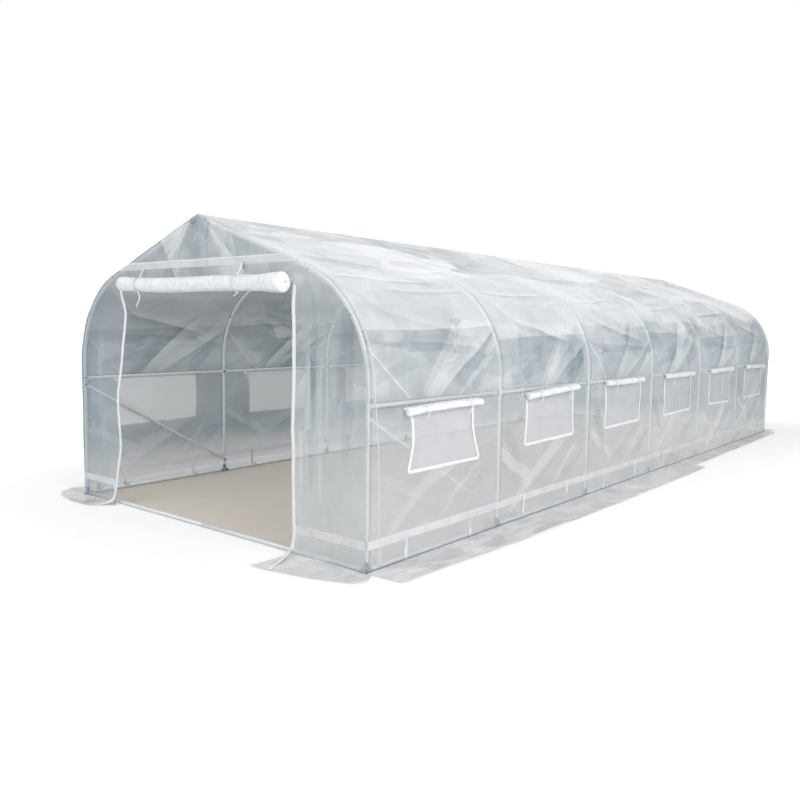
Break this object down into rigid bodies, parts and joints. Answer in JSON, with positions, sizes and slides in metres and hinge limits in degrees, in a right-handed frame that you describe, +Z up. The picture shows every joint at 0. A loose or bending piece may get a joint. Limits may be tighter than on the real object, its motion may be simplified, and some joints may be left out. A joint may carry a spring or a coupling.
{
  "type": "walk-in polytunnel greenhouse",
  "caption": "Walk-in tunnel greenhouse: bent steel tube hoops with side rails under a clear film cover, with mesh windows, ground flaps and a door rolled up over the front doorway.",
  "frame": {"origin": "middle of the footprint on the ground, ground flaps included", "axes": "+X across the tunnel towards the right-hand side, +Y along it from the open front doorway to the closed back, +Z up"},
  "size_m": [3.5186, 8.6984, 2.0565],
  "materials": {
    "galvanised_tube": "satin",
    "steel_fitting": "satin",
    "clear_film": "gloss",
    "insect_mesh": "matte",
    "white_binding": "matte",
    "rolled_film": "satin",
    "band_tape": "satin",
    "white_webbing": "matte"
  },
  "bodies": {
    "root": {"back_door_film": "clear_film", "back_film_left": "clear_film", "back_film_right": "clear_film", "back_gable_film": "clear_film", "back_ground_rail": "galvanised_tube", "back_hoop": "galvanised_tube", "door_roll": "rolled_film", "doorway_bindings": "white_binding", "end_bay_braces": "galvanised_tube", "foot_fittings": "steel_fitting", "front_film_left": "clear_film", "front_film_right": "clear_film", "front_gable_film": "clear_film", "front_ground_rail": "galvanised_tube", "front_hoop": "galvanised_tube", "gable_bands": "band_tape", "ground_bands": "band_tape", "ground_flap_left": "clear_film", "ground_flap_right": "clear_film", "ground_flaps_back": "clear_film", "ground_flaps_front": "clear_film", "ground_rail_left": "galvanised_tube", "ground_rail_right": "galvanised_tube", "hoop_2": "galvanised_tube", "hoop_3": "galvanised_tube", "hoop_4": "galvanised_tube", "hoop_5": "galvanised_tube", "hoop_6": "galvanised_tube", "peak_fittings": "steel_fitting", "ridge_rail": "galvanised_tube", "roof_film_left": "clear_film", "roof_film_right": "clear_film", "shoulder_film_left": "clear_film", "shoulder_film_right": "clear_film", "side_film_left": "clear_film", "side_film_right": "clear_film", "side_rail_left": "galvanised_tube", "side_rail_right": "galvanised_tube", "tie_straps": "white_webbing", "window_binding_left": "white_binding", "window_binding_right": "white_binding", "window_flap_rolls_left": "rolled_film", "window_flap_rolls_right": "rolled_film", "window_mesh_left": "insect_mesh", "window_mesh_right": "insect_mesh"}
  },
  "joints": []
}
